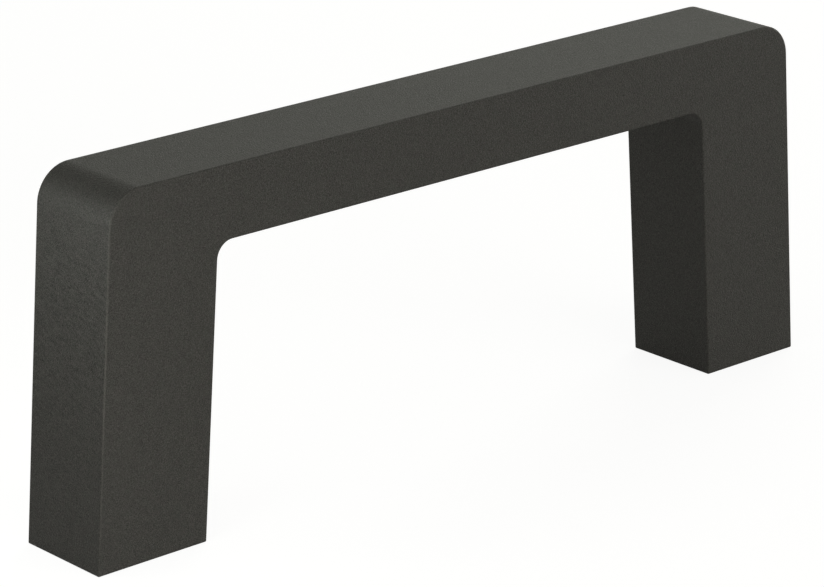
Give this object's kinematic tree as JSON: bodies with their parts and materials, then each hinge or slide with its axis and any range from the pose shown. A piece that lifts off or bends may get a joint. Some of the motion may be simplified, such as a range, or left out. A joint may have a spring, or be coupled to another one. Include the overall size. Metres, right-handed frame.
{
  "type": "bridge pull handle",
  "caption": "Straight bar on two splayed legs with rounded corners, screwed on from behind through a tapped hole in each foot, to pull open a door, drawer or panel.",
  "frame": {"origin": "on the mounting face, midway between the two feet and midway across the width", "axes": "+X along the bar, +Y across the width, +Z from the mounting face towards the hand; it stands on its feet"},
  "size_m": [0.102, 0.012, 0.04],
  "materials": {
    "coated_aluminium": "matt fine-textured powder coat, near black, over aluminium; the tapped holes are bare metal"
  },
  "bodies": {
    "root": {"bridge_handle": "coated_aluminium"}
  },
  "joints": []
}
